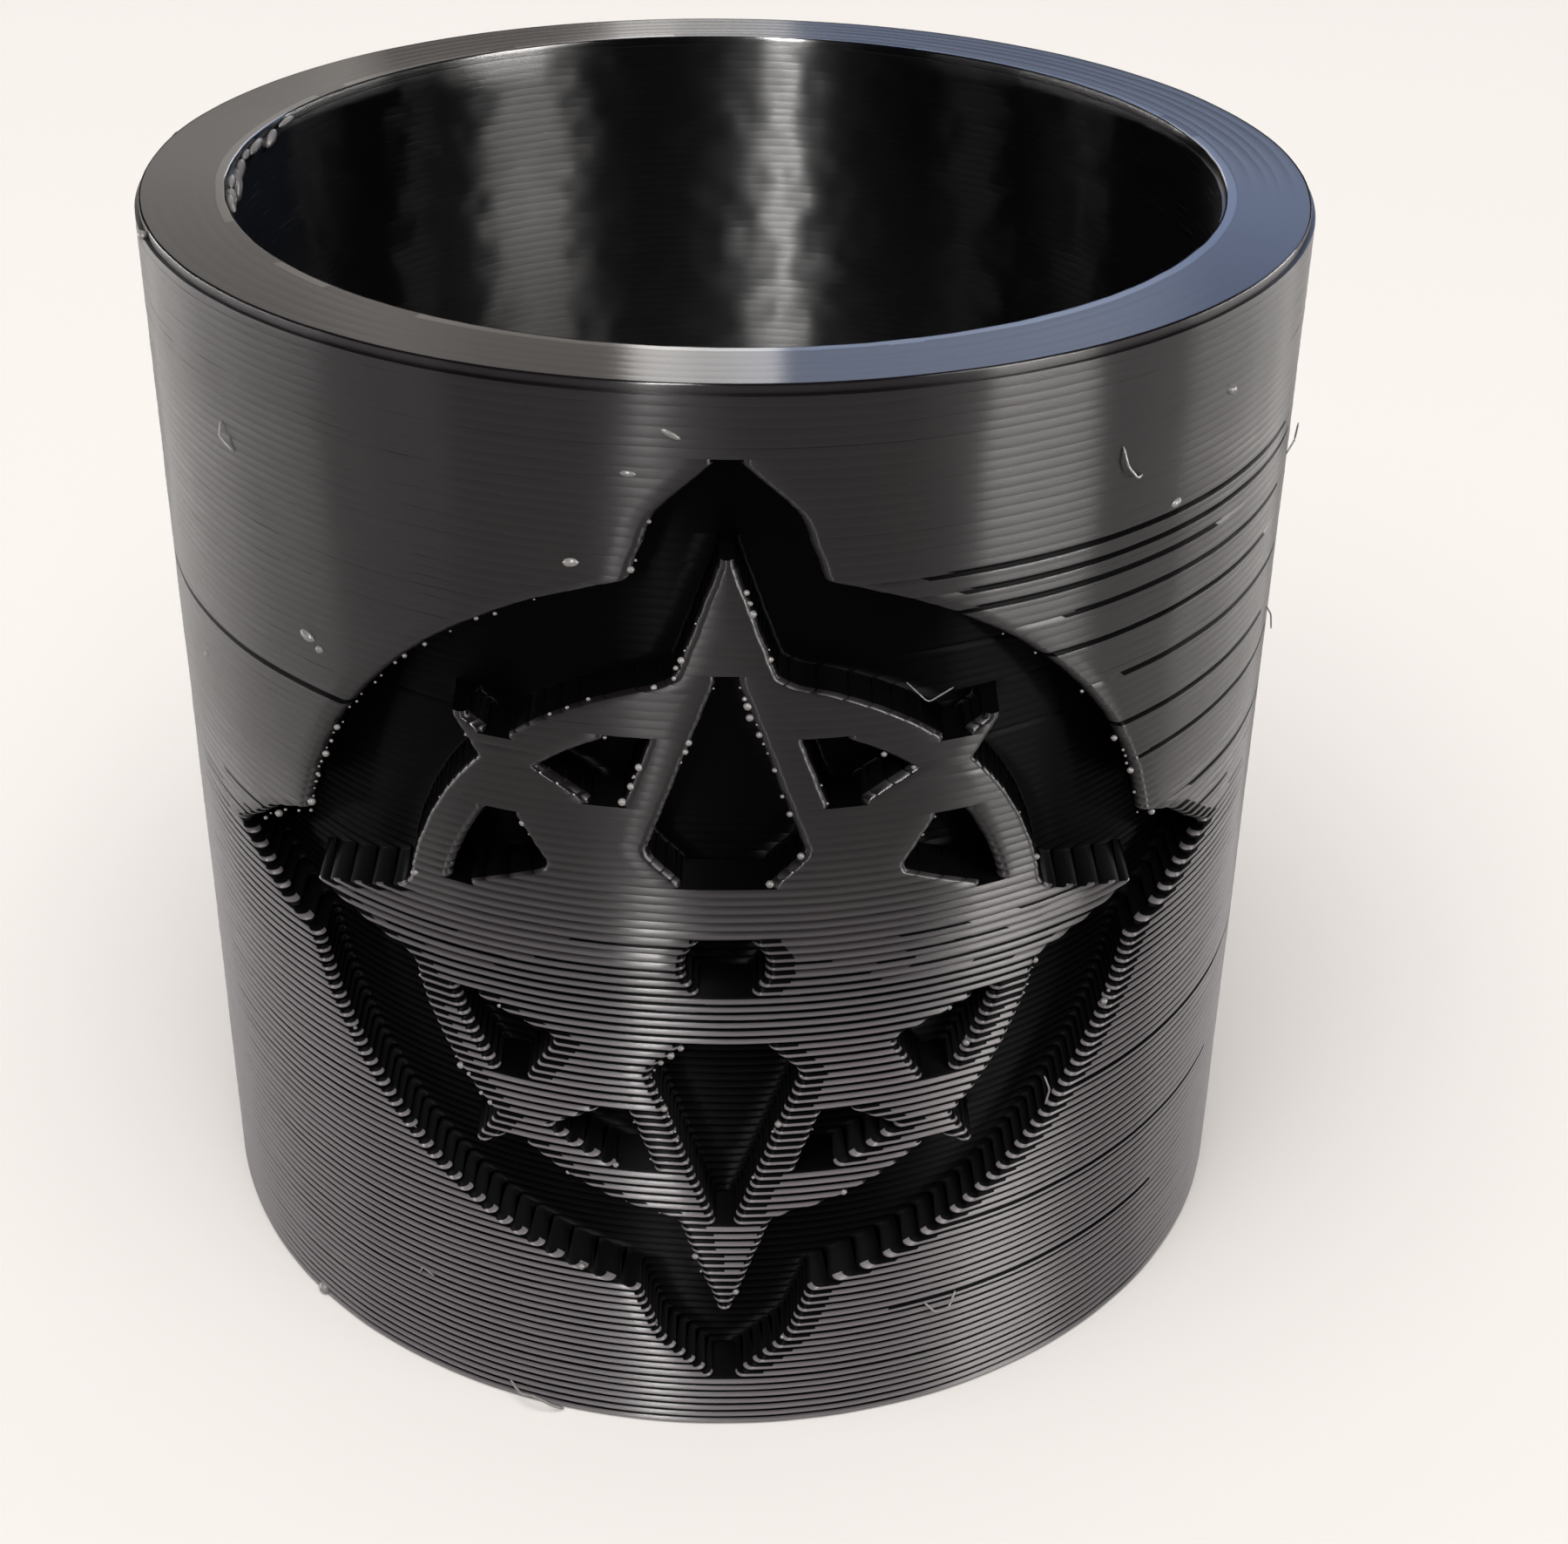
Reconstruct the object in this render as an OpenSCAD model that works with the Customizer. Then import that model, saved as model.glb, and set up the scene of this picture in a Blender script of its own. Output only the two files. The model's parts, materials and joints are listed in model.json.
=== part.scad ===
// Neckerchief slide: a short round tube that a rolled scarf is pulled through.
// Millimetres, +Z up along the bore. The origin is the centre of the base.
// The front faces -Y and carries a sunk pocket with a raised eight-point compass rose.

/* [Tube] */
// Diameter over the outer wall
outer_d = 38; // [36:0.5:44]
// Diameter of the bore that the scarf runs through
bore_d = 32; // [28:0.5:32.5]
// Height of the tube
tube_h = 37.4; // [34:0.2:46]
// Rounding of the top rim's outer edge
outer_edge_r = 0.75; // [0.2:0.05:1]
// Rounding of the top rim's inner edge
inner_edge_r = 0.4; // [0.1:0.05:0.6]

/* [Pocket] */
// Depth of the pocket below the outer wall
pocket_depth = 1.7; // [0.8:0.1:1.8]
// Gap between a long point's sides and the pocket's wall
pocket_gap = 2.1; // [1.2:0.1:2.3]
// Gap between the tip of a long point and the pocket's corner beyond it
tip_gap = 2.6; // [2.4:0.1:3.4]
// Gap between the tip of a short point and the pocket's round wall
short_gap = 1.4; // [1.2:0.1:1.8]
// Plain wall left above and below the pocket
end_margin = 1.9; // [1.2:0.1:4]

/* [Compass rose] */
// Angle around the tube at which the two side points end, from the front
side_point_angle = 43; // [36:1:48]
// Half width of the four long points at their waist
long_half_w = 3.7; // [3.2:0.1:4.2]
// Reach of the four short points from the rose's centre
short_reach = 11.7; // [11:0.1:12.2]
// Half width of the four short points at their waist
short_half_w = 2.4; // [2:0.1:2.8]
// Outer radius of the band that crosses behind the points
band_r = 9.8; // [8.8:0.1:10.2]
// Width of that band
band_w = 1.3; // [1:0.1:1.8]
// Width of the raised line around the sunk middle of an upright point
line_w = 1.2; // [0.9:0.05:1.5]
// Radius of the hub
hub_r = 2.8; // [2.4:0.1:3.2]
// Radius of the sunk eye in the hub
eye_r = 1.2; // [0.8:0.1:1.6]

/* [Hidden] */
$fn = 180;

outer_r = outer_d / 2;
bore_r = bore_d / 2;
floor_r = outer_r - pocket_depth;
rose_z = tube_h / 2;
upright_reach = tube_h / 2 - end_margin - tip_gap;
side_reach = outer_r * sin(side_point_angle);
overshoot = 1;

// A point of the rose, from the centre up along the second axis
module star_point(reach, half_w) {
    polygon([[0, 0], [half_w, half_w], [0, reach], [-half_w, half_w]]);
}

// The room that a long point needs: the same point grown by an even gap, with a blunter tip
module point_room(reach, half_w) {
    slope = [reach - half_w, half_w];
    out = pocket_gap * slope / norm(slope);
    waist = [half_w, half_w] + out;
    shoulder = [0, reach] + out;
    polygon([
        [0, 0],
        waist,
        shoulder,
        [0, reach + tip_gap],
        [-shoulder[0], shoulder[1]],
        [-waist[0], waist[1]]
    ]);
}

// The sunk middle of an upright point: the same point with each side moved inwards by one line width
module point_window(reach, half_w) {
    side = norm([half_w, reach - half_w]);
    foot = line_w * sqrt(2);
    waist = half_w - line_w * (side + half_w * sqrt(2)) / reach;
    polygon([[0, foot], [waist, waist + foot], [0, reach - line_w * side / half_w], [-waist, waist + foot]]);
}

// Reach of the long point at each quarter turn: up, left, down, right
function long_reach(quarter) = quarter % 2 == 0 ? upright_reach : side_reach;

// The pocket's outline: round, with a corner for each long point
module pocket_plan() {
    circle(r = short_reach + short_gap);
    for (quarter = [0 : 3])
        rotate(quarter * 90) point_room(long_reach(quarter), long_half_w);
}

// The raised rose: points over a round band, with a hub, and open middles in the two upright points
module rose_plan() {
    difference() {
        union() {
            difference() {
                circle(r = band_r);
                circle(r = band_r - band_w);
            }
            for (quarter = [0 : 3]) {
                rotate(quarter * 90) star_point(long_reach(quarter), long_half_w);
                rotate(quarter * 90 + 45) star_point(short_reach, short_half_w);
            }
        }
        for (half = [0 : 1])
            rotate(half * 180) difference() {
                point_window(upright_reach, long_half_w);
                circle(r = hub_r);
            }
        circle(r = eye_r);
    }
}

// Square corner outside a round edge of radius r, at a corner that faces away from [-x_side, -1]
module edge_waste(x, z, r, x_side) {
    translate([x - x_side * r, z - r]) difference() {
        translate([x_side > 0 ? 0 : -r - overshoot, 0]) square([r + overshoot, r + overshoot]);
        circle(r = r);
    }
}

module tube_blank() {
    rotate_extrude() difference() {
        translate([bore_r, 0]) square([outer_r - bore_r, tube_h]);
        edge_waste(outer_r, tube_h, outer_edge_r, 1);
        edge_waste(bore_r, tube_h, inner_edge_r, -1);
    }
}

// What is cut away: the pocket less the rose, straight in from the front, down to a round floor
module pocket_cut() {
    difference() {
        translate([0, 0, rose_z]) rotate([90, 0, 0])
            linear_extrude(height = outer_r + overshoot) difference() {
                pocket_plan();
                rose_plan();
            }
        translate([0, 0, -overshoot]) cylinder(r = floor_r, h = tube_h + 2 * overshoot);
    }
}

module slide_ring() {
    color([0.06, 0.06, 0.065]) difference() {
        tube_blank();
        pocket_cut();
    }
}

slide_ring();
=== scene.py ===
"""Looks of a black printed neckerchief slide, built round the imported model.

The print is modelled layer by layer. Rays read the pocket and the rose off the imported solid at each
layer's height, and each layer becomes a closed ring of plastic with a round flank and round line ends.
Lengths on the slide are millimetres until a mesh is made; the room round it is in metres. The front faces
-Y, and angles run from the front towards +X.
"""

import json
import math

import bpy
import numpy as np
from mathutils import Matrix, Vector
from mathutils.bvhtree import BVHTree


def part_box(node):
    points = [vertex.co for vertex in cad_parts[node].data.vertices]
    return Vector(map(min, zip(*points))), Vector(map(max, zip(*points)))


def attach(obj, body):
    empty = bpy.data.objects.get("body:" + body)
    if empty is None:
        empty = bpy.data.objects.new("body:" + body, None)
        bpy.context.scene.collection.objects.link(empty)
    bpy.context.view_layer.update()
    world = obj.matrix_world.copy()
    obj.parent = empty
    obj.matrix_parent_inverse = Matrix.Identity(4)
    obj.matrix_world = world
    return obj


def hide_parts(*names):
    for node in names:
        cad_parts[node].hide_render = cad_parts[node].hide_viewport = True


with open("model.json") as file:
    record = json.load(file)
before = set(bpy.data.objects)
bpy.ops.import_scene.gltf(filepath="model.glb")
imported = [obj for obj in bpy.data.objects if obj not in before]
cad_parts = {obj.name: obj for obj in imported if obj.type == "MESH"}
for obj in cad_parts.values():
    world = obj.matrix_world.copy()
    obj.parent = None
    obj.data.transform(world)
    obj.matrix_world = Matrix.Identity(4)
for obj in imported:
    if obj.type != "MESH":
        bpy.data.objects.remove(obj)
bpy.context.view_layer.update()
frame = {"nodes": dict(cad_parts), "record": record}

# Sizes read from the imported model
MM = 0.001
NODE = "slide_ring"
BOX_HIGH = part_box(NODE)[1]
OUTER_R = BOX_HIGH.x / MM
TUBE_H = BOX_HIGH.z / MM
BORE_R = next(m["dims"]["r_mm"] for m in frame["record"]["mounts"] if m["kind"] == "bore")

# Print settings, as the photo shows them
USUAL_LAYER_H = 0.3       # the common layer height that the layers are counted with
LAYERS = round(TUBE_H / USUAL_LAYER_H)
LAYER_H = TUBE_H / LAYERS
MIN_BEAD = 0.5            # narrower lines and slots don't print
OUTER_ROUND = 0.5         # rounding of the rim's outer edge
INNER_ROUND = 0.4         # rounding of the rim's inner edge
CREST_CLEARANCE = 0.03    # how far the mean crest stays inside the solid's wall
OVERLAP = 0.015           # how far a layer sinks into the one below
DEEP_GROOVE = 0.155       # groove between two layers low down
SHALLOW_GROOVE = 0.007    # groove where the upper wall is smoothest
BORE_GROOVE = 0.007       # groove in the bore

# How a layer follows the pocket and the rose
READ_REACH = 0.88         # how far to each side the front is read, as a share of the outer radius
READ_STEP = 0.04          # spacing of the rays that read it
LINE_END = 0.3            # radius that the nozzle leaves at the end of a raised line
LINE_END_SHARE = 0.49     # the most of a narrow line that one rounded end takes up
INNER_CORNER = 0.13       # radius where a pocket wall meets the floor
INNER_CORNER_SHARE = 0.4  # the most of a narrow run that one of its corners takes up
LINE_END_POINTS = 6
INNER_CORNER_POINTS = 3
LONGEST_LEAN = 2.4        # a line's end leans towards the lines below and above, unless they end further off
CLOSEST_EDGES = 0.15      # edges that would come closer than this don't lean
COLUMN = 0.6              # spacing of the points along a plain stretch of wall
MID_MARGIN = 0.25         # how far under the pocket's floor the flat faces have their middle row
FLAT_REACH = 0.84         # how far to each side that row lies straight behind the front, a share of OUTER_R
TINY_TURN = 1e-5          # keeps neighbouring points of that row apart

# Unevenness
RIPPLE = 0.002            # along a layer of the outer wall
LAYER_SHIFT = 0.002       # from layer to layer of the outer wall
WALL_WAVE = 0.006         # soft waves over several layers of the outer wall
WALL_DENT = 0.04          # the deepest and the highest that these three may come to
WALL_BUMP = 0.022
BORE_SHIFT = 0.0004       # from layer to layer of the bore
BORE_WAVE = 0.009         # soft waves in the bore
BORE_DENT = 0.05          # the deepest and the highest that these two may come to
BORE_BUMP = 0.028
LEVEL_SHIFT = 0.006       # height of the border between two layers
DEPTH_SHIFT = 0.12        # a groove's depth, as a share of it
SHADE_SHIFT = 0.08        # where a groove starts to be painted dark as shade
SEAM_AT = math.radians(174)
SEAM_WIDTH = 0.3
SEAM_BULGE = 0.008        # how proud the seam stands, where each layer starts and ends
SEAM_SHIFT = 0.012        # how far it moves from layer to layer, in radians

# One layer's flank from bottom to top: (share of its height, share of the groove's depth)
FLANK = ((0.0, 1.0), (0.13, 0.5), (0.3, 0.06), (0.44, 0.0), (0.62, 0.12), (0.78, 0.42), (1.0, 1.0))
FLAT_TOP = len(FLANK) - 1  # the faces that run in from the last row are the layer's flat top
# Faces between these rows that are painted dark as a groove's shade, each with how ridged the wall must be
# for that
GROOVE_FACES = {0: 0.38, 5: 0.5, 1: 0.62}
# Faces painted dark as the shade of an open groove, and of a rounded line's end
OPEN_GROOVE_FACES = (0, 1, 4, 5)
OPEN_SHADE = 0.035        # the extra depth from which an open groove is painted dark as shade
LINE_END_SHADE = 0.3      # how ridged the wall must be for the grooves at its line ends to be painted dark as shade

# Where the wall is smooth: the ridges fade out between two heights, and the front and the rim are smoothest
FADE_HEIGHTS = 13, 24
FRONT_ANGLES = math.radians(36), math.radians(66)
RIM_HEIGHTS = 31, 35
SIDE_SMOOTHNESS = 0.84    # how smooth the upper sides are beside the upper front
SMOOTH_GLOSS = 0.45       # how far the smooth wall is towards the flat rim's gloss
IRONED_TOP = 0.04         # how far down from the top the rim's own gloss reaches
SHARP_EDGE = math.radians(58)

# A course is one mesh of consecutive layers
COURSE_LAYERS = 25

SEED = 1907
rng = np.random.default_rng(SEED)


def smooth_step(value, low, high):
    """0 below low, 1 above high, and a smooth rise between."""
    t = np.clip((value - low) / (high - low), 0, 1)
    return t * t * (3 - 2 * t)


# Smooth noise round the tube
NOISE_POINTS = 2048
NOISE_GRID = np.linspace(-math.pi, math.pi, NOISE_POINTS, endpoint=False)
NOISE_LIMIT = 2           # rare larger values are cut off here, where they would show


def ring_noise(rows, reach):
    """Rows of smooth noise round the tube on NOISE_GRID, with unit spread; reach is its feature size."""
    raw = np.fft.rfft(rng.standard_normal((rows, len(NOISE_GRID))), axis=1)
    waves = np.arange(raw.shape[1]) / (2 * math.pi * OUTER_R)
    noise = np.fft.irfft(raw * np.exp(-((waves * reach) ** 2)), len(NOISE_GRID), axis=1)
    return noise / noise.std()


def ring_waves(reach, layers):
    """Smooth noise round the tube that also runs on over several layers, one row for each layer."""
    width = 3 * layers
    spread = np.arange(-width, width + 1)
    weights = np.exp(-0.5 * (spread / layers) ** 2)
    rows = ring_noise(LAYERS + 2 * width, reach)
    waves = np.array([weights @ rows[k:k + len(spread)] for k in range(LAYERS)])
    return waves / waves.std()


def noise_at(row, angles):
    return np.interp(angles, NOISE_GRID, row, period=2 * math.pi)


def clipped_noise_at(row, angles):
    return np.clip(noise_at(row, angles), -NOISE_LIMIT, NOISE_LIMIT)


def layer_noise():
    """One random number for each layer, without rare large ones."""
    return np.clip(rng.normal(0, 1, LAYERS), -NOISE_LIMIT, NOISE_LIMIT)


# The pocket and the rose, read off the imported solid
def read_front(obj):
    """Where the front wall is sunk: for each layer, the runs (x from, x to), and the floor's radius."""
    tree = BVHTree.FromPolygons([v.co for v in obj.data.vertices], [p.vertices for p in obj.data.polygons])
    reach = OUTER_R * READ_REACH
    xs = np.arange(-reach, reach, READ_STEP)
    radii = np.empty((LAYERS, len(xs)))
    for k in range(LAYERS):
        z = (k + 0.5) * LAYER_H * MM
        for i, x in enumerate(xs):
            hit = tree.ray_cast(Vector((x * MM, -2 * OUTER_R * MM, z)), Vector((0, 1, 0)))[0]
            radii[k, i] = math.hypot(hit.x, hit.y) / MM
    floor = radii.min()
    sunk = radii < (OUTER_R + floor) / 2
    return [clean_runs(xs, row) for row in sunk], floor


def clean_runs(xs, sunk):
    """Runs of sunk wall along one layer, without lines or slots that are too narrow to print."""
    change = np.flatnonzero(np.diff(sunk.astype(int)))
    ends = list(xs[change] + READ_STEP / 2)
    runs = [list(pair) for pair in zip(ends[0::2], ends[1::2])]
    joined = []
    for run in runs:
        if joined and run[0] - joined[-1][1] < MIN_BEAD:
            joined[-1][1] = run[1]
        else:
            joined.append(run)
    return [run for run in joined if run[1] - run[0] > MIN_BEAD]


RUNS, FLOOR_R = read_front(frame["nodes"][NODE])
MID_R = FLOOR_R - MID_MARGIN

# Layer by layer unevenness: short and long ripples, the grooves' depth and painted shade, waves, shifts and
# borders
crest_noise = 0.6 * ring_noise(LAYERS, reach=3) + 0.8 * ring_noise(LAYERS, reach=14)
depth_noise = ring_noise(LAYERS + 1, reach=4)
painted_shade_noise = ring_noise(LAYERS + 1, reach=6)
wall_wave = ring_waves(reach=2.6, layers=4)
bore_wave = ring_waves(reach=1.2, layers=1)
layer_offset = layer_noise()
bore_offset = layer_noise()
level_shift = rng.normal(0, LEVEL_SHIFT, LAYERS + 1)
level_shift[[0, -1]] = 0
LEVELS = np.arange(LAYERS + 1) * LAYER_H + level_shift

# Grooves where two layers bonded badly: (height, middle and half width in degrees, extra depth)
OPEN_GROOVES = (
    (31.5, 43, 36, 0.06), (30.9, 46, 38, 0.055), (30.3, 36, 26, 0.04), (29.4, 50, 30, 0.042),
    (28.0, 42, 32, 0.06), (26.5, 55, 28, 0.042), (24.9, 46, 30, 0.055), (23.4, 60, 26, 0.05),
    (21.0, 66, 22, 0.045), (11.3, 52, 30, 0.06), (7.4, 40, 34, 0.07), (4.5, 34, 26, 0.05),
    (25.6, -52, 42, 0.04),
)


def smoothness(z, angles):
    """0 low down; higher up 1 at the front and by the rim, and a little less round the sides."""
    front = 1 - smooth_step(np.abs(angles), *FRONT_ANGLES)
    best = np.maximum(front, smooth_step(z, *RIM_HEIGHTS))
    return smooth_step(z, *FADE_HEIGHTS) * (SIDE_SMOOTHNESS + (1 - SIDE_SMOOTHNESS) * best)


def open_depth(level, angles):
    """Extra depth of the groove at this level, where the layers bonded badly."""
    extra = np.zeros(len(angles))
    for z, middle, half_width, most in OPEN_GROOVES:
        if round(z / LAYER_H) == level:
            away = np.abs(angles - math.radians(middle))
            extra += most * (1 - smooth_step(away, 0.5 * math.radians(half_width), math.radians(half_width)))
    return extra


def edge_inset(z, rounding):
    """How far a rounded rim edge has drawn back at height z."""
    above = max(0.0, z - (TUBE_H - rounding))
    return rounding - math.sqrt(max(0.0, rounding**2 - above**2))


# Outlines of a layer, seen from above
def arc(centre, radius, start, end, count, hollow=False):
    """Points (x, y, facing angle) on an arc; a hollow arc faces its own centre."""
    facing = np.linspace(start, end, count)
    sign = -1 if hollow else 1
    x = centre[0] + sign * radius * np.sin(facing)
    y = centre[1] - sign * radius * np.cos(facing)
    return np.stack([x, y, facing], 1)


def shared_edges(k):
    """The edges that layers k and k + 1 have in common: (layer, run, side), and the x halfway between."""
    shared = {}
    for side in (0, 1):
        lower = [run[side] for run in RUNS[k]]
        upper = [run[side] for run in RUNS[k + 1]]
        if not lower or not upper:
            continue
        steps = np.abs(np.subtract.outer(lower, upper))
        for i, j in enumerate(steps.argmin(1)):
            if steps[:, j].argmin() == i and steps[i, j] < LONGEST_LEAN:
                shared[k, i, side] = shared[k + 1, j, side] = (lower[i] + upper[j]) / 2
    for layer in (k, k + 1):
        keys = [(layer, i, side) for i in range(len(RUNS[layer])) for side in (0, 1)]
        edges = [shared.get(key, RUNS[layer][key[1]][key[2]]) for key in keys]
        for i in np.flatnonzero(np.diff(edges) < CLOSEST_EDGES):
            crowded = [shared.get(keys[i]), shared.get(keys[i + 1])]
            shared = {key: x for key, x in shared.items() if x not in crowded}
    return shared


# The place of an outline's point, and of the faces between it and the next
OUTER_WALL, END_OF_LINE, POCKET = range(3)
SHARED = [shared_edges(k) for k in range(LAYERS - 1)]


def leaning_runs(k, level):
    """The runs of layer k, its edges moved to where they meet those of the layer across this level."""
    shared = SHARED[level] if 0 <= level < len(SHARED) else {}
    return [[shared.get((k, i, side), run[side]) for side in (0, 1)] for i, run in enumerate(RUNS[k])]


def corner(x, radius):
    """Centre of a corner arc at x whose distance from the axis is radius, and its angle there."""
    y = -math.sqrt(radius**2 - x**2)
    return (x, y), math.atan2(x, -y)


def outline(runs, outer_r, counts=()):
    """One layer seen from above: points (x, y, facing angle), each one's place, and its stretches' counts.

    Counts that are handed in keep the points of several outlines in step with each other.
    """
    parts = []
    places = []
    used = []
    quarter = math.pi / 2
    at = -math.pi

    def add(points, place):
        parts.append(points)
        places.append(np.full(len(points), place))

    def wall(radius, start, end):
        plain = max(2, round((end - start) * radius / COLUMN) + 1)
        used.append(counts[len(used)] if counts else plain)
        return arc((0, 0), radius, start, end, used[-1])[1:-1]

    add(arc((0, 0), outer_r, at, at, 1), OUTER_WALL)
    for i, (start, end) in enumerate(runs):
        before = after = LINE_END
        if i > 0:
            before = min(LINE_END, LINE_END_SHARE * (start - runs[i - 1][1]))
        if i < len(runs) - 1:
            after = min(LINE_END, LINE_END_SHARE * (runs[i + 1][0] - end))
        inner = min(INNER_CORNER, INNER_CORNER_SHARE * (end - start))
        centre, turn = corner(start - before, outer_r - before)
        add(wall(outer_r, at, turn), OUTER_WALL)
        add(arc(centre, before, turn, quarter, LINE_END_POINTS), END_OF_LINE)
        places[-1][-1] = POCKET
        low_centre, low_turn = corner(start + inner, FLOOR_R + inner)
        high_centre, high_turn = corner(end - inner, FLOOR_R + inner)
        add(arc(low_centre, inner, quarter, low_turn, INNER_CORNER_POINTS, hollow=True), POCKET)
        add(wall(FLOOR_R, low_turn, high_turn), POCKET)
        add(arc(high_centre, inner, high_turn, -quarter, INNER_CORNER_POINTS, hollow=True), POCKET)
        centre, turn = corner(end + after, outer_r - after)
        add(arc(centre, after, -quarter, turn, LINE_END_POINTS), END_OF_LINE)
        at = turn
    add(wall(outer_r, at, math.pi), OUTER_WALL)
    return np.concatenate(parts), np.concatenate(places), used


def leaning_outlines(k, outer_r):
    """The outlines at one layer's bottom, middle and top, point for point, and each point's place."""
    middle, places, counts = outline(RUNS[k], outer_r)
    bottom = outline(leaning_runs(k, k - 1), outer_r, counts)[0]
    top = outline(leaning_runs(k, k), outer_r, counts)[0]
    return (bottom, middle, top), places


def outline_at(outlines, share):
    """The outline at a share of the layer's height."""
    bottom, middle, top = outlines
    if share < 0.5:
        return bottom + (middle - bottom) * 2 * share
    return middle + (top - middle) * (2 * share - 1)


def plain_angles(points):
    """The points' own angles round the tube, rising from the back."""
    angle = np.arctan2(points[:, 0], -points[:, 1])
    angle[0] = -math.pi
    return angle


def middle_angles(points):
    """Angles of the flat faces' middle row: straight behind the front, then easing to the back's."""
    limit = OUTER_R * FLAT_REACH
    edge = math.asin(limit / OUTER_R)
    edge_mid = math.asin(limit / MID_R)
    angle = plain_angles(points)
    front = np.arcsin(np.clip(points[:, 0] / MID_R, -1, 1))
    rest = np.sign(angle) * (edge_mid + (np.abs(angle) - edge) * (math.pi - edge_mid) / (math.pi - edge))
    is_front = (np.abs(points[:, 0]) < limit) & (np.abs(angle) < math.pi / 2)
    apart = TINY_TURN * (np.arange(len(points)) - len(points) / 2)
    return np.where(is_front, front, rest) + apart


seam_shift = rng.normal(0, SEAM_SHIFT, LAYERS)


# Rows of a layer
def layer_span(k):
    """The lowest and highest z of layer k."""
    return LEVELS[k] - OVERLAP * (k > 0), LEVELS[k + 1]


def crest_inset(k, angles, is_outer):
    """How far the crest of layer k stays inside the solid's wall."""
    ripple = RIPPLE * noise_at(crest_noise[k], angles)
    wave = WALL_WAVE * clipped_noise_at(wall_wave[k], angles)
    uneven = (ripple + wave) * is_outer + LAYER_SHIFT * layer_offset[k]
    off_seam = (angles - SEAM_AT - seam_shift[k]) * OUTER_R / SEAM_WIDTH
    seam = SEAM_BULGE * np.exp(-(off_seam**2)) * is_outer
    return CREST_CLEARANCE - np.clip(uneven, -WALL_DENT, WALL_BUMP) - seam


def outer_rows(k, outlines, places):
    """The rows of one layer's outside from its lower groove up, its painted crest highlight, and where it is
    painted dark as shade.
    """
    angles = np.arctan2(outlines[1][:, 0], -outlines[1][:, 1])
    crest = crest_inset(k, angles, places == OUTER_WALL)
    low, high = layer_span(k)
    has_painted_shade_top = (k + 1) * LAYER_H < TUBE_H - 2 * OUTER_ROUND
    rows, crest_highlight, painted_shade = [], [], []
    for number, (share, groove_share) in enumerate(FLANK):
        level = k + (share > 0.5)
        ridged = 1 - smoothness(level * LAYER_H, angles)
        depth = SHALLOW_GROOVE + (DEEP_GROOVE - SHALLOW_GROOVE) * ridged
        depth = depth * (1 + DEPTH_SHIFT * clipped_noise_at(depth_noise[level], angles))
        extra = open_depth(level, angles)
        inset = crest + groove_share * (depth + extra)
        # Crests of ridged wall are painted paler: a painted highlight, strongest on the crest and none in
        # the grooves
        crest_highlight.append(ridged * (1 - groove_share) ** 2)
        shaded = ridged + SHADE_SHIFT * noise_at(painted_shade_noise[level], angles)
        is_deep = shaded > GROOVE_FACES.get(number, math.inf)
        is_open = (extra > OPEN_SHADE) | ((places == END_OF_LINE) & (ridged > LINE_END_SHADE))
        is_open &= number in OPEN_GROOVE_FACES
        is_painted_shade_top = (number == FLAT_TOP) & has_painted_shade_top
        # Painted shade: faces in deep and open grooves, at line ends, in the pocket and on the layers' flat
        # tops are marked for the dark copy of the plastic
        painted_shade.append(is_deep | is_open | (places == POCKET) | is_painted_shade_top)
        points = outline_at(outlines, share)
        x = points[:, 0] - inset * np.sin(points[:, 2])
        y = points[:, 1] + inset * np.cos(points[:, 2])
        rows.append(np.stack([x, y, np.full(len(x), low + share * (high - low))], 1))
    return rows, crest_highlight, painted_shade


def circle_row(radius, angles, z):
    return np.stack([radius * np.sin(angles), -radius * np.cos(angles), np.full(len(angles), z)], 1)


# One layer's bore wall from top to bottom: (share of its height, share of the groove's depth)
BORE_FLANK = ((1.0, 1.0), (0.5, 0.0), (0.0, 1.0))


def bore_rows(k, angles):
    """The rows of one layer's bore wall, from top to bottom."""
    uneven = BORE_SHIFT * bore_offset[k] + BORE_WAVE * clipped_noise_at(bore_wave[k], angles)
    crest = BORE_R + edge_inset((k + 0.5) * LAYER_H, INNER_ROUND) + CREST_CLEARANCE
    crest = crest - np.clip(uneven, -BORE_DENT, BORE_BUMP)
    low, high = layer_span(k)
    rows = []
    for share, groove_share in BORE_FLANK:
        rows.append(circle_row(crest + groove_share * BORE_GROOVE, angles, low + share * (high - low)))
    return rows


# The rim's top: lines of plastic side by side, each from outside in (share of its width, drop)
RIM_LINES = 6
RIM_LINE = ((0.05, 0.003), (0.2, 0.0005), (0.8, 0.0), (0.95, 0.0025))
RIM_CLEARANCE = 0.012     # how far the lines' tops stay inside the solid
RIM_CORNER = 0.05         # how far the walls' top rows lie below the layer's top
RIM_LEVEL = 0.001         # how unevenly high the lines lie
RIM_HIGHEST = 0.01        # the most that one line stands above the rest
RIM_WAVER = 0.03          # how far the lines waver to each side
STRAIGHT_EDGE = 0.04      # share of the rim's width at each edge that doesn't waver
rim_waver = RIM_WAVER * ring_noise(RIM_LINES + 1, reach=7)
rim_level = rng.normal(0, RIM_LEVEL, RIM_LINES)


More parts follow.
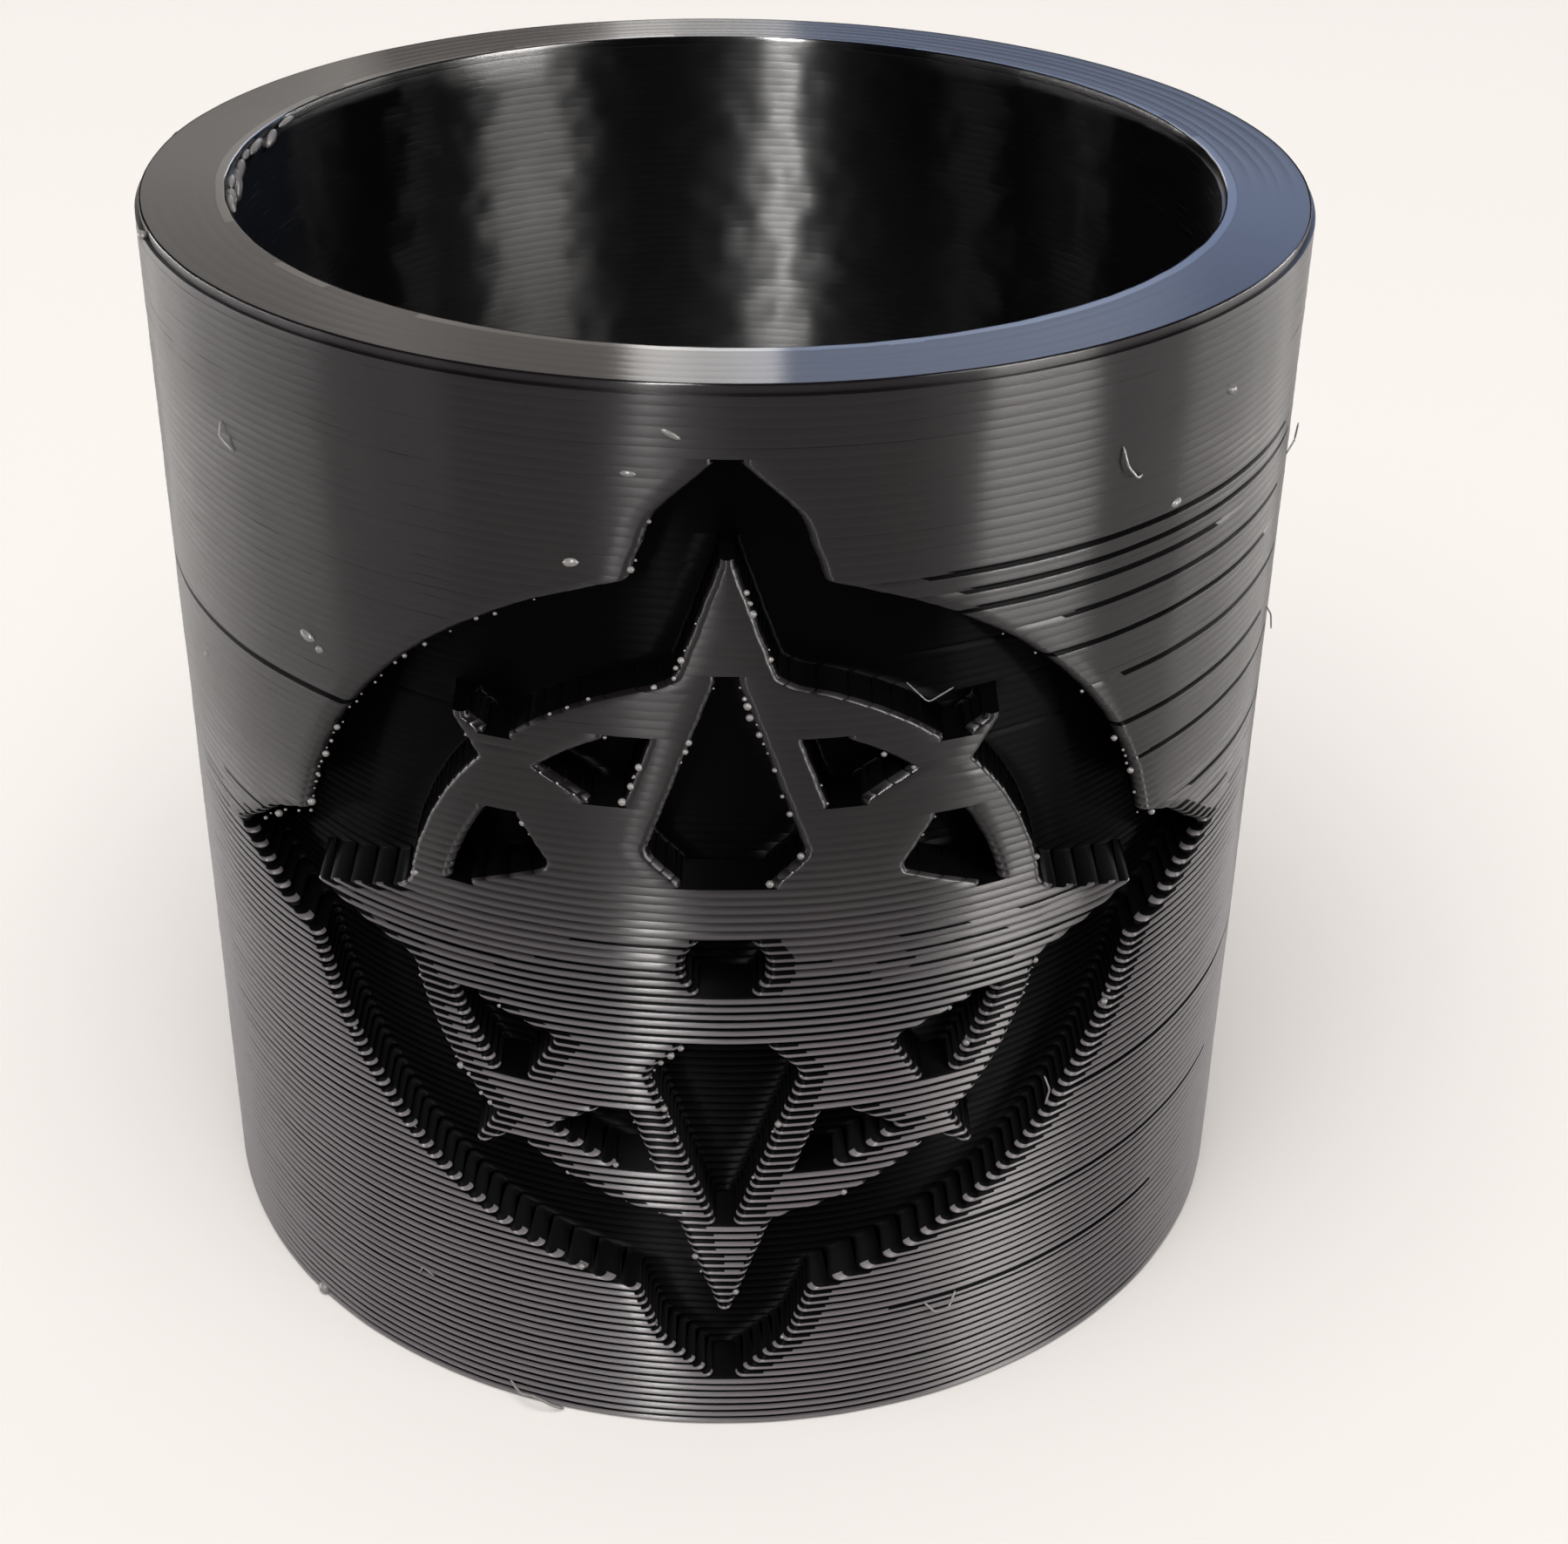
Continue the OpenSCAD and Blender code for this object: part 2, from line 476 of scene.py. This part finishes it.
def rim_rows(outer_row, inner_row, angles):
    """The top face between the two walls: flat lines of plastic that run round the rim."""
    outer = np.hypot(outer_row[:, 0], outer_row[:, 1])
    inner = np.hypot(inner_row[:, 0], inner_row[:, 1])
    rows = []
    for line in range(RIM_LINES):
        level = min(RIM_HIGHEST, rim_level[line])
        wavers = [noise_at(row, angles) for row in rim_waver[line:line + 2]]
        for part, drop in RIM_LINE:
            share = (line + part) / RIM_LINES
            is_free = STRAIGHT_EDGE < share < 1 - STRAIGHT_EDGE
            waver = wavers[0] * (1 - part) + wavers[1] * part
            radius = outer + share * (inner - outer) + waver * is_free
            rows.append(circle_row(radius, angles, TUBE_H - RIM_CLEARANCE - drop + level))
    return rows


def layer_grid(k):
    """All rows of one layer's closed ring, up its outside and down its bore, its painted crest highlight and
    its painted shade.
    """
    outer_r = OUTER_R - edge_inset((k + 0.5) * LAYER_H, OUTER_ROUND)
    outlines, places = leaning_outlines(k, outer_r)
    low_angles, angles, top_angles = [middle_angles(o) if RUNS[k] else plain_angles(o) for o in outlines]
    outside, crest_highlight, painted_shade = outer_rows(k, outlines, places)
    bore = bore_rows(k, angles)
    top_z, low_z = outside[-1][0, 2], outside[0][0, 2]
    if k == LAYERS - 1:
        for row in (outside[-1], bore[0]):
            row[:, 2] -= RIM_CORNER
        across = rim_rows(outside[-1], bore[0], angles)
    else:
        across = [circle_row(MID_R, top_angles, top_z)]
    rest = across + bore + [circle_row(MID_R, low_angles, low_z)]
    plain = [np.zeros(len(angles))] * len(rest)
    underside = [np.full(len(angles), k > 0)]
    return np.array(outside + rest), np.array(crest_highlight + plain), np.array(painted_shade + plain[1:] + underside)


# Meshes
def mesh_from_arrays(name, points, faces):
    """An object from an array of points and an array of four-sided faces."""
    mesh = bpy.data.meshes.new(name)
    mesh.vertices.add(len(points))
    mesh.vertices.foreach_set("co", (points * MM).astype(np.float32).ravel())
    mesh.loops.add(faces.size)
    mesh.loops.foreach_set("vertex_index", faces.astype(np.int32).ravel())
    mesh.polygons.add(len(faces))
    mesh.polygons.foreach_set("loop_start", np.arange(0, faces.size, 4, dtype=np.int32))
    mesh.update(calc_edges=True)
    mesh.shade_smooth()
    obj = bpy.data.objects.new(name, mesh)
    bpy.context.scene.collection.objects.link(obj)
    return obj


def ring_faces(row_count, column_count):
    """Quads of a grid that closes on itself both ways."""
    index = np.arange(row_count * column_count).reshape(row_count, column_count)
    right = np.roll(index, -1, axis=1)
    up = np.roll(index, -1, axis=0)
    return np.stack([index, right, np.roll(right, -1, axis=0), up], 2).reshape(-1, 4)


def join_parts(parts):
    """The points of all parts in one array, and their faces in another."""
    starts = np.cumsum([0] + [len(points) for points, _ in parts[:-1]])
    points = np.concatenate([points for points, _ in parts])
    faces = np.concatenate([faces + start for (_, faces), start in zip(parts, starts)])
    return points, faces


# The materials of a course: its wall, the faces painted dark as shade, and the bore, painted darker as shade
WALL, SHADE, BORE = range(3)
BORE_MARGIN = 0.1         # faces within this of the bore's rounded edge count as bore


def make_course(name, first_layer, end_layer):
    """One mesh of consecutive layers, each a closed ring."""
    rings, crest_highlights, painted_shades = [], [], []
    for k in range(first_layer, end_layer):
        grid, crest_highlight, painted_shade = layer_grid(k)
        rings.append((grid.reshape(-1, 3), ring_faces(*grid.shape[:2])))
        crest_highlights.append(crest_highlight.ravel())
        painted_shades.append(painted_shade.ravel())
    points, faces = join_parts(rings)
    obj = mesh_from_arrays(name, points, faces)
    obj.data.set_sharp_from_angle(angle=SHARP_EDGE)
    radius = np.hypot(points[:, 0], points[:, 1])
    angle = np.arctan2(points[:, 0], -points[:, 1])
    z = points[:, 2]
    ironed = np.where(z > TUBE_H - IRONED_TOP, 1, SMOOTH_GLOSS * smoothness(z, angle))
    # The painted crest highlight goes onto the points for the material
    for label, values in (("ironed", ironed), ("crest_highlight", np.concatenate(crest_highlights))):
        attribute = obj.data.attributes.new(label, "FLOAT", "POINT")
        attribute.data.foreach_set("value", values.astype(np.float32))
    # Faces marked for painted shade take the dark copy of the plastic
    material = np.where(np.concatenate(painted_shades) > 0, SHADE, WALL)
    # Faces in the bore take a darker copy of the plastic, painted shade
    in_bore = (radius[faces] < BORE_R + INNER_ROUND + BORE_MARGIN).all(1)
    material = np.where(in_bore, BORE, material)
    obj.data.polygons.foreach_set("material_index", material.astype(np.int32))
    return obj


# Small flaws of the print: blobs, lumps and stray threads, each a short closed strand of plastic. They are
# pale: the threads as stretched plastic, the blobs and lumps as painted glints.
STRAND_SIDES = 6
STRAND_HELPER = (0.31, 0.22, 0.92)  # no strand runs in this direction
BLOB_POINTS = 7
BLUNT_END = 1.02          # more than 1, so that the ends of a blob or lump keep a little width

# Blobs on the outer wall: (azimuth in degrees, z, length, radius)
WALL_BLOBS = (
    (51.5, 34.5, 0.5, 0.16), (44.0, 31.7, 0.45, 0.14), (-41.1, 27.5, 0.6, 0.15), (-39.6, 27.2, 0.3, 0.12),
    (-13.1, 32.0, 0.5, 0.14), (-49.0, 0.25, 0.5, 0.22), (-70.0, 37.1, 0.5, 0.16), (-101.0, 37.1, 0.6, 0.18),
    (-8.1, 34.8, 0.5, 0.1), (-4.6, 36.0, 0.6, 0.1), (-62.0, 24.0, 0.35, 0.1), (-30.0, 20.5, 0.3, 0.1),
    (140.0, 20.0, 0.5, 0.14), (-155.0, 9.0, 0.4, 0.13), (110.0, 30.0, 0.4, 0.12),
)
BLOB_TILT = 0.5           # how steeply such a blob may run
BLOB_SINK = 0.03          # how far its middle lies inside the mean crest

# Blobs at the ends of raised lines: lone ones, and trails that follow an edge up over some layers
LONE_BLOBS = 50
BLOB_TRAILS = 30
TRAIL_LAYERS = 4, 13      # the fewest layers of a trail, and one more than the most
TRAIL_STEP = 0.8          # the furthest that the edge may move from layer to layer
TRAIL_SHARE = 0.6         # share of a trail's layers that carry a blob
END_BLOB_RADIUS = 0.03    # the smallest; the others are larger by the square of up to END_BLOB_SPREAD
END_BLOB_SPREAD = 0.3
END_BLOB_LENGTH = 2.2     # in radii
END_BLOB_SHIFT = 0.1      # how far onto its line such a blob may lie
END_BLOB_SINK = 0.12      # how far its middle lies inside the solid's wall
MID_LAYER = 0.35, 0.65    # its height, as a share of the layer's

# Lumps round the rim's inner edge: (azimuth, length, radius, how far one end droops)
RIM_LUMPS = (
    (-74.5, 0.7, 0.1, 0.02), (-78.0, 0.9, 0.15, 0.1), (-81.5, 0.6, 0.2, 0.3), (-85.0, 1.0, 0.14, 0.05),
    (-88.5, 0.7, 0.24, 0.42), (-91.5, 0.9, 0.18, 0.2), (-95.0, 0.7, 0.13, 0.05), (-99.0, 1.3, 0.16, 0.08),
    (-104.0, 0.8, 0.18, 0.2), (-108.5, 1.1, 0.12, 0.03),
)
LUMP_POINTS = 9
LUMP_DROP = 0.03          # how far the lumps' tops lie below the rim's top
LUMP_PROUD = 0.02         # places their middles 0.01 into the bore, as at_wall takes off CREST_CLEARANCE
LUMP_ROUGHNESS = 0.85, 1.0

# Threads: radius, then knots (azimuth, z, how proud)
THREADS = (
    (0.035, (36.1, 34.2, 0.02), (36.4, 33.6, 0.2), (37.4, 33.2, 0.28), (38.8, 33.1, 0.02)),
    (0.035, (-51.7, 33.3, 0.02), (-51.2, 32.9, 0.2), (-49.9, 32.5, 0.02)),
    (0.05, (-22.5, 0.7, 0.02), (-21.0, 0.5, 0.3), (-19.4, 0.7, 0.45), (-17.4, 0.3, 0.3), (-16.6, 0.08, 0.1)),
    (0.035, (74.0, 29.6, 0.0), (74.8, 30.0, 0.2), (75.0, 30.6, 0.26)),
    (0.03, (73.0, 24.2, 0.0), (73.8, 23.8, 0.16), (74.2, 23.2, 0.22)),
    (0.035, (33.0, 12.4, 0.02), (33.4, 11.9, 0.18), (33.4, 11.2, 0.02)),
    (0.035, (20.5, 4.4, 0.02), (21.5, 4.0, 0.2), (23.0, 4.0, 0.22), (24.0, 4.5, 0.02)),
    (0.03, (-33.0, 4.0, 0.02), (-32.0, 4.6, 0.2), (-31.0, 4.2, 0.02)),
    (0.025, (16.0, 28.0, -0.3), (18.0, 27.3, -0.2), (20.5, 27.6, -0.3)),
    (0.025, (-36.0, 9.5, -0.2), (-34.0, 10.4, -0.25), (-32.5, 10.2, -0.2)),
)
KNOT_POINTS = 5           # points for each knot
THREAD_TAPER = 1.6        # how quickly a thread reaches its full width
THREAD_TIP = 0.04         # share of that taper left off at each tip, which keeps a little width


def strand(path, radii):
    """Points and faces of a closed tube along a path, as thick at each point as its radius says."""
    path = np.asarray(path, float)
    tangent = np.gradient(path, axis=0)
    tangent /= np.linalg.norm(tangent, axis=1)[:, None]
    side = np.cross(tangent, STRAND_HELPER)
    side /= np.linalg.norm(side, axis=1)[:, None]
    lift = np.cross(side, tangent)
    turn = np.arange(STRAND_SIDES) * 2 * math.pi / STRAND_SIDES
    spokes = side[:, None] * np.cos(turn)[:, None] + lift[:, None] * np.sin(turn)[:, None]
    points = path[:, None] + spokes * np.asarray(radii, float)[:, None, None]
    index = np.arange(points.shape[0] * STRAND_SIDES).reshape(-1, STRAND_SIDES)
    right = np.roll(index, -1, axis=1)
    sides = np.stack([index[:-1], index[1:], right[1:], right[:-1]], 2).reshape(-1, 4)
    first, last = index[0], index[-1]
    caps = [first[[0, 1, 2, 3]], first[[0, 3, 4, 5]], last[[3, 2, 1, 0]], last[[5, 4, 3, 0]]]
    return points.reshape(-1, 3), np.concatenate([sides, caps])


def at_wall(azimuth, z, proud=0.0, radius=None):
    """A point near the outer wall's mean crest, or as near to another radius; azimuth in degrees."""
    a = math.radians(azimuth)
    r = (OUTER_R if radius is None else radius) - CREST_CLEARANCE + proud
    return (r * math.sin(a), -r * math.cos(a), z)


def swelling(share):
    """How thick a blob or lump is along its length, where share runs from -1 to 1."""
    return np.sqrt(BLUNT_END - share**2)


def blob(centre, direction, length, radius):
    """An oval blob: a strand that swells and closes again."""
    share = np.linspace(-1, 1, BLOB_POINTS)
    path = [np.asarray(centre) + 0.5 * length * s * np.asarray(direction) for s in share]
    return strand(path, radius * swelling(share))


def edge_trail(k, side, x, count):
    """One raised edge followed upwards from layer k over some layers: a list of (layer, x)."""
    trail = [(k, x)]
    for above in range(k + 1, min(k + count, LAYERS)):
        edges = [run[side] for run in RUNS[above]]
        near = min(edges, key=lambda edge: abs(edge - x), default=math.inf)
        if abs(near - x) > TRAIL_STEP:
            break
        x = near
        trail.append((above, x))
    return trail


def end_blob(k, side, x):
    """A small round blob on the end of one raised line; the line lies left of an edge of side 0."""
    size = END_BLOB_RADIUS + rng.uniform(0, END_BLOB_SPREAD) ** 2
    x += rng.uniform(0, END_BLOB_SHIFT) if side else rng.uniform(-END_BLOB_SHIFT, 0)
    y = -math.sqrt((OUTER_R - END_BLOB_SINK) ** 2 - x**2)
    z = (k + rng.uniform(*MID_LAYER)) * LAYER_H
    return blob((x, y, z), (1, 0, 0), END_BLOB_LENGTH * size, size)


def blob_strands():
    """Blobs where the nozzle stopped, on the wall and at the ends of raised lines."""
    made = []
    for azimuth, z, length, radius in WALL_BLOBS:
        tilt = rng.uniform(-BLOB_TILT, BLOB_TILT)
        a = math.radians(azimuth)
        direction = (math.cos(a), math.sin(a), tilt)
        made.append(blob(at_wall(azimuth, z, -BLOB_SINK), direction, length, radius))
    ends = [(k, side, run[side]) for k in range(LAYERS) for run in RUNS[k] for side in (0, 1)]
    picks = rng.choice(len(ends), LONE_BLOBS + BLOB_TRAILS, replace=False)
    for number, pick in enumerate(picks):
        k, side, x = ends[pick]
        count = 1 if number < LONE_BLOBS else rng.integers(*TRAIL_LAYERS)
        for at, near in edge_trail(k, side, x, count):
            if count == 1 or rng.random() < TRAIL_SHARE:
                made.append(end_blob(at, side, near))
    return made


def rim_strands():
    """The ragged inner edge of the rim: lumps along it, and drips that hang a little way down the bore."""
    made = []
    share = np.linspace(-1, 1, LUMP_POINTS)
    for azimuth, length, radius, droop in RIM_LUMPS:
        path = []
        for s in share:
            turn = math.degrees(0.5 * length * s / BORE_R)
            z = TUBE_H - radius - LUMP_DROP - droop * (1 + s)
            path.append(at_wall(azimuth + turn, z, LUMP_PROUD, BORE_R))
        ragged = rng.uniform(*LUMP_ROUGHNESS, len(share))
        made.append(strand(path, radius * swelling(share) * ragged))
    return made


def thread_strands():
    """Fine threads that the nozzle pulled: each a smooth path past its knots, thinner at its tips."""
    made = []
    for radius, *knots in THREADS:
        knots = np.array(knots, float)
        share = np.linspace(0, len(knots) - 1, KNOT_POINTS * len(knots))
        places = [[np.interp(s, range(len(knots)), column) for column in knots.T] for s in share]
        path = np.array([at_wall(*place) for place in places])
        path[1:-1] = (path[:-2] + 2 * path[1:-1] + path[2:]) / 4
        along = np.linspace(THREAD_TIP, 1 - THREAD_TIP, len(path))
        taper = np.clip(THREAD_TAPER * np.sqrt(np.sin(math.pi * along)), 0, 1)
        made.append(strand(path, radius * taper))
    return made


# Materials
BRUSH_TURN = 0.25         # a quarter turn, so that the brushing runs round the tube
STREAKS_ROUND = 6.5       # features of the streaks for each radian, and for each metre of height
STREAKS_UP = 5200
GRAIN_SCALE = 9000.0
CLOUD_SCALE = 160.0
CLOUD_RANGE = 0.3, 0.75   # the part of the cloud's values that runs from the dark to the light shade
STREAK_RANGE = 0.3, 0.7   # the part of the streaks' values that varies the roughness
STREAK_BUMP = 0.2         # strengths and heights of the two bumps
STREAK_HEIGHT = 0.00002
GRAIN_BUMP = 0.12
GRAIN_HEIGHT = 0.00001
FLAT_ROUGHNESS = 0.15     # where the print is flattest
# A mix node's two inputs and its output, for each kind of value
MIX_SOCKETS = {"FLOAT": (2, 3, 0), "RGBA": (6, 7, 2)}


def plastic_material(name, dark, light, crest, roughness, specular,
                     brushed=1.0, relief=0.1, waver=0.02, ior=1.45):
    """Black printed plastic, brushed round the tube: its dark and light tone, and the paler colour of its
    ridges' crests, a painted highlight.
    """
    mat = bpy.data.materials.new(name)
    mat.use_nodes = True
    nodes, links = mat.node_tree.nodes, mat.node_tree.links

    def put(value, socket):
        """A number, a colour or another node's output goes into a socket."""
        if isinstance(value, bpy.types.NodeSocket):
            links.new(value, socket)
        else:
            socket.default_value = value

    def node(kind, **inputs):
        made = nodes.new("ShaderNode" + kind)
        for label, value in inputs.items():
            put(value, made.inputs[label.replace("_", " ")])
        return made

    def maths(operation, first, second):
        made = node("Math")
        made.operation = operation
        put(first, made.inputs[0])
        put(second, made.inputs[1])
        return made.outputs[0]

    def mix(kind, factor, first, second):
        made = node("Mix")
        made.data_type = kind
        low, high, result = MIX_SOCKETS[kind]
        put(factor, made.inputs[0])
        put(first, made.inputs[low])
        put(second, made.inputs[high])
        return made.outputs[result]

    def attribute(label):
        made = node("Attribute")
        made.attribute_name = label
        return made.outputs["Fac"]

    place = node("TexCoord").outputs["Object"]
    apart = node("SeparateXYZ", Vector=place).outputs
    along = maths("MULTIPLY", maths("ARCTAN2", apart["X"], apart["Y"]), STREAKS_ROUND)
    upward = maths("MULTIPLY", apart["Z"], STREAKS_UP)
    streak_place = node("CombineXYZ", X=along, Y=upward).outputs[0]
    streaks = node("TexNoise", Vector=streak_place, Scale=1.0, Detail=3.0).outputs["Fac"]
    grain = node("TexNoise", Vector=place, Scale=GRAIN_SCALE, Detail=2.0).outputs["Fac"]
    cloud = node("TexNoise", Vector=place, Scale=CLOUD_SCALE, Detail=4.0).outputs["Fac"]

    shade = node("ValToRGB", Fac=cloud)
    for stop, position, colour in zip(shade.color_ramp.elements, CLOUD_RANGE, (dark, light)):
        stop.position = position
        stop.color = (*colour, 1)
    # The ridges' crests are painted paler here, a painted highlight
    base = mix("RGBA", attribute("crest_highlight"), shade.outputs["Color"], (*crest, 1))

    rough = node("MapRange", Value=streaks, From_Min=STREAK_RANGE[0], From_Max=STREAK_RANGE[1],
                 To_Min=roughness - waver, To_Max=roughness + waver)
    tangent = node("Tangent")
    tangent.direction_type = "RADIAL"
    tangent.axis = "Z"
    bump = node("Bump", Height=streaks, Strength=STREAK_BUMP * relief, Distance=STREAK_HEIGHT)
    bump = node("Bump", Height=grain, Strength=GRAIN_BUMP * relief, Distance=GRAIN_HEIGHT,
                Normal=bump.outputs["Normal"])

    settings = {
        "Base Color": base,
        "Roughness": mix("FLOAT", attribute("ironed"), rough.outputs["Result"], FLAT_ROUGHNESS),
        "IOR": ior,
        "Specular IOR Level": specular,
        "Anisotropic": brushed,
        "Anisotropic Rotation": BRUSH_TURN,
        "Tangent": tangent.outputs[0],
        "Normal": bump.outputs["Normal"],
    }
    for label, value in settings.items():
        put(value, nodes["Principled BSDF"].inputs[label])
    return mat


# On the wall plastic the crest colour is a painted highlight; the dark and light tones are the plastic's own
wall_plastic = plastic_material(
    "printed_plastic_black", dark=(0.0038, 0.0031, 0.0044), light=(0.0092, 0.0075, 0.0086),
    crest=(0.164, 0.149, 0.159), roughness=0.39, specular=0.36)
# A dark copy of the plastic with almost no specular: painted shade for grooves, line ends, ledges and the
# pocket
painted_shade_plastic = plastic_material(
    "printed_plastic_painted_shade", dark=(0.0008, 0.0008, 0.0012), light=(0.002, 0.002, 0.0024),
    crest=(0.005, 0.005, 0.0055), roughness=0.45, specular=0.02)
# The bore's darker colours are painted shade inside the tube
painted_shade_bore_plastic = plastic_material(
    "printed_plastic_bore_painted_shade", dark=(0.0008, 0.0008, 0.0014), light=(0.002, 0.002, 0.0028),
    crest=(0.004, 0.004, 0.0045), roughness=0.345, specular=1.0, relief=0.0, waver=0.0, ior=1.53)
# Pale plastic: stretched threads are pale of their own, while the blobs and lumps are painted pale as glints
thread_and_glint_plastic = plastic_material(
    "printed_plastic_thread_and_glint", dark=(0.12, 0.115, 0.115), light=(0.28, 0.27, 0.265),
    crest=(0.3, 0.3, 0.3), roughness=0.3, specular=0.5, brushed=0.0, waver=0.05)


def finish_piece(obj, materials):
    """Every piece is of the same plastic and part of the one solid."""
    for material in materials:
        obj.data.materials.append(material)
    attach(obj, "root")
    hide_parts(NODE)


for number, first_layer in enumerate(range(0, LAYERS, COURSE_LAYERS), 1):
    course = make_course(f"course_{number}", first_layer, min(LAYERS, first_layer + COURSE_LAYERS))
    finish_piece(course, (wall_plastic, painted_shade_plastic, painted_shade_bore_plastic))
for name, strands in (
    ("surface_blobs", blob_strands()),
    ("rim_lumps", rim_strands()),
    ("stray_threads", thread_strands()),
):
    finish_piece(mesh_from_arrays(name, *join_parts(strands)), (thread_and_glint_plastic,))


# Floor, light and camera
FLOOR_HALF = 3.0
FLOOR_COLOUR = (0.83, 0.8, 0.775, 1)
FLOOR_ROUGHNESS = 0.75
ROOM_COLOUR = (1.0, 0.975, 0.96, 1)
ROOM_STRENGTH = 0.33

# Soft panels of light: name, azimuth and elevation in degrees, distance, width, height, radiance, colour
FILL_PANELS = (
    ("ceiling", -10, 84, 1.3, 2.2, 2.2, 0.42, (1.0, 0.985, 0.975)),
    ("front_fill", -10, 62, 1.5, 1.5, 1.5, 3.3, (1.0, 0.985, 0.97)),
)
MIRRORED_PANELS = (
    ("room_front", 0, 38, 0.7, 1.3, 0.4, 0.025, (0.75, 0.85, 1.35)),
    ("window_right", 58, 2.0, 0.6, 0.235, 0.05, 100.0, (1.0, 0.97, 0.94)),
    ("window_right_high", 54.5, 30, 0.6, 0.21, 0.36, 15.5, (1.0, 0.97, 0.94)),
    ("wall_right", 112, 1.5, 0.7, 0.5, 0.04, 46.0, (1.0, 0.97, 0.95)),
    ("wall_right_near", 80, 1.5, 0.7, 0.26, 0.04, 13.0, (1.0, 0.97, 0.96)),
    ("wall_left", -107, 1.5, 0.7, 0.8, 0.04, 41.0, (1.0, 0.97, 0.96)),
    ("wall_left_near", -64, 1.5, 0.7, 0.32, 0.04, 9.5, (1.0, 0.97, 0.98)),
    ("window_front", -15, 44, 0.6, 0.034, 0.6, 116.0, (1.0, 0.98, 0.96)),
    ("bright_behind", 180.6, 24, 0.6, 0.04, 0.12, 5.2, (1.0, 0.98, 0.96)),
    ("blue_behind", 158, 25, 0.7, 0.5, 0.2, 1.1, (0.66, 0.82, 1.25)),
    ("blue_near", 173, 26, 0.7, 0.12, 0.14, 1.15, (0.8, 0.88, 1.05)),
    ("brown_behind", 195, 20, 0.7, 0.14, 0.26, 0.75, (1.05, 0.99, 0.92)),
    ("brown_near", 185.5, 24, 0.7, 0.1, 0.2, 0.95, (1.05, 0.97, 0.9)),
)


def make_floor():
    corners = [(x * FLOOR_HALF, y * FLOOR_HALF, 0) for x, y in ((-1, -1), (1, -1), (1, 1), (-1, 1))]
    mesh = bpy.data.meshes.new("floor")
    mesh.from_pydata(corners, [], [(0, 1, 2, 3)])
    floor = bpy.data.objects.new("floor", mesh)
    bpy.context.scene.collection.objects.link(floor)
    mat = bpy.data.materials.new("pale_table")
    mat.use_nodes = True
    shader = mat.node_tree.nodes["Principled BSDF"]
    shader.inputs["Base Color"].default_value = FLOOR_COLOUR
    shader.inputs["Specular IOR Level"].default_value = 0.0
    shader.inputs["Roughness"].default_value = FLOOR_ROUGHNESS
    mesh.materials.append(mat)


def soft_panel(name, azimuth, elevation, distance, width, height, radiance, colour, is_fill):
    """A rectangular light that faces the slide's middle, either a fill or only seen mirrored in surfaces."""
    a, e = math.radians(azimuth), math.radians(elevation)
    aim = Vector((0, 0, TUBE_H * MM / 2))
    away = Vector((math.sin(a) * math.cos(e), -math.cos(a) * math.cos(e), math.sin(e)))
    light = bpy.data.lights.new(name, "AREA")
    light.shape = "RECTANGLE"
    light.size, light.size_y = width, height
    light.energy = radiance * math.pi * width * height
    light.color = colour
    obj = bpy.data.objects.new(name, light)
    obj.visible_diffuse = is_fill
    obj.visible_glossy = not is_fill
    obj.location = aim + distance * away
    obj.rotation_euler = away.to_track_quat("Z", "Y").to_euler()
    bpy.context.scene.collection.objects.link(obj)


def make_light():
    world = bpy.data.worlds.new("soft_room")
    world.use_nodes = True
    back = world.node_tree.nodes["Background"]
    back.inputs["Color"].default_value = ROOM_COLOUR
    back.inputs["Strength"].default_value = ROOM_STRENGTH
    world.cycles_visibility.glossy = False
    bpy.context.scene.world = world
    bpy.context.scene.view_settings.view_transform = "Standard"
    for panels, is_fill in ((FILL_PANELS, True), (MIRRORED_PANELS, False)):
        for panel in panels:
            soft_panel(*panel, is_fill)


def make_camera():
    """The photo's camera, found by fitting the slide's outline, rim and layers in the 1800 x 1772 frame."""
    focal_px = 2929
    frame_width_px = 1800
    back, height = 81.85, 62.91
    pitch, yaw, roll = math.radians(30.66), math.radians(1.51), math.radians(0.97)
    sensor_width = 36
    near_clip = 0.005
    data = bpy.data.cameras.new("photo_camera")
    data.sensor_width = sensor_width
    data.lens = focal_px / frame_width_px * data.sensor_width
    data.clip_start = near_clip
    camera = bpy.data.objects.new("photo_camera", data)
    turn = Matrix.Rotation(-yaw, 4, "Z")
    turn = turn @ Matrix.Rotation(math.pi / 2 - pitch, 4, "X")
    turn = turn @ Matrix.Rotation(roll, 4, "Z")
    camera.matrix_world = Matrix.Translation((0, -back * MM, height * MM)) @ turn
    bpy.context.scene.collection.objects.link(camera)
    bpy.context.scene.camera = camera


make_floor()
make_light()
make_camera()
